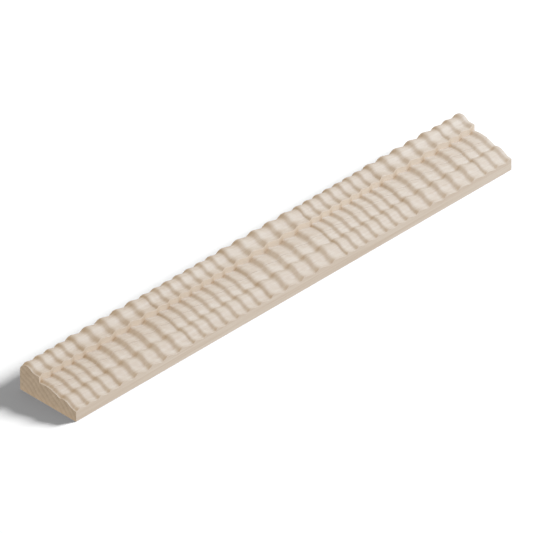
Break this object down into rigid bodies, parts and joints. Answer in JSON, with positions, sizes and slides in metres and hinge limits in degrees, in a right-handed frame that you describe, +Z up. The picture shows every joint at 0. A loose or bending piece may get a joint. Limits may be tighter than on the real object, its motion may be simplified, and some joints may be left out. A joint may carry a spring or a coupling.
{
  "type": "ripple moulding",
  "caption": "Length of light wooden ripple moulding: an ogee front edge, a stepped ridge along the back and wavy ripples across its whole face, for edging frames, panels and furniture.",
  "frame": {"origin": "middle of the flat underside", "axes": "+X along the length, from the end near the camera in the picture to the far end; +Y across the width, from the low front edge to the high back edge; +Z up from the underside to the rippled face"},
  "size_m": [0.35, 0.045, 0.0203],
  "materials": {
    "wood": "planed, unfinished"
  },
  "bodies": {
    "root": {"ripple_moulding": "wood"}
  },
  "joints": []
}
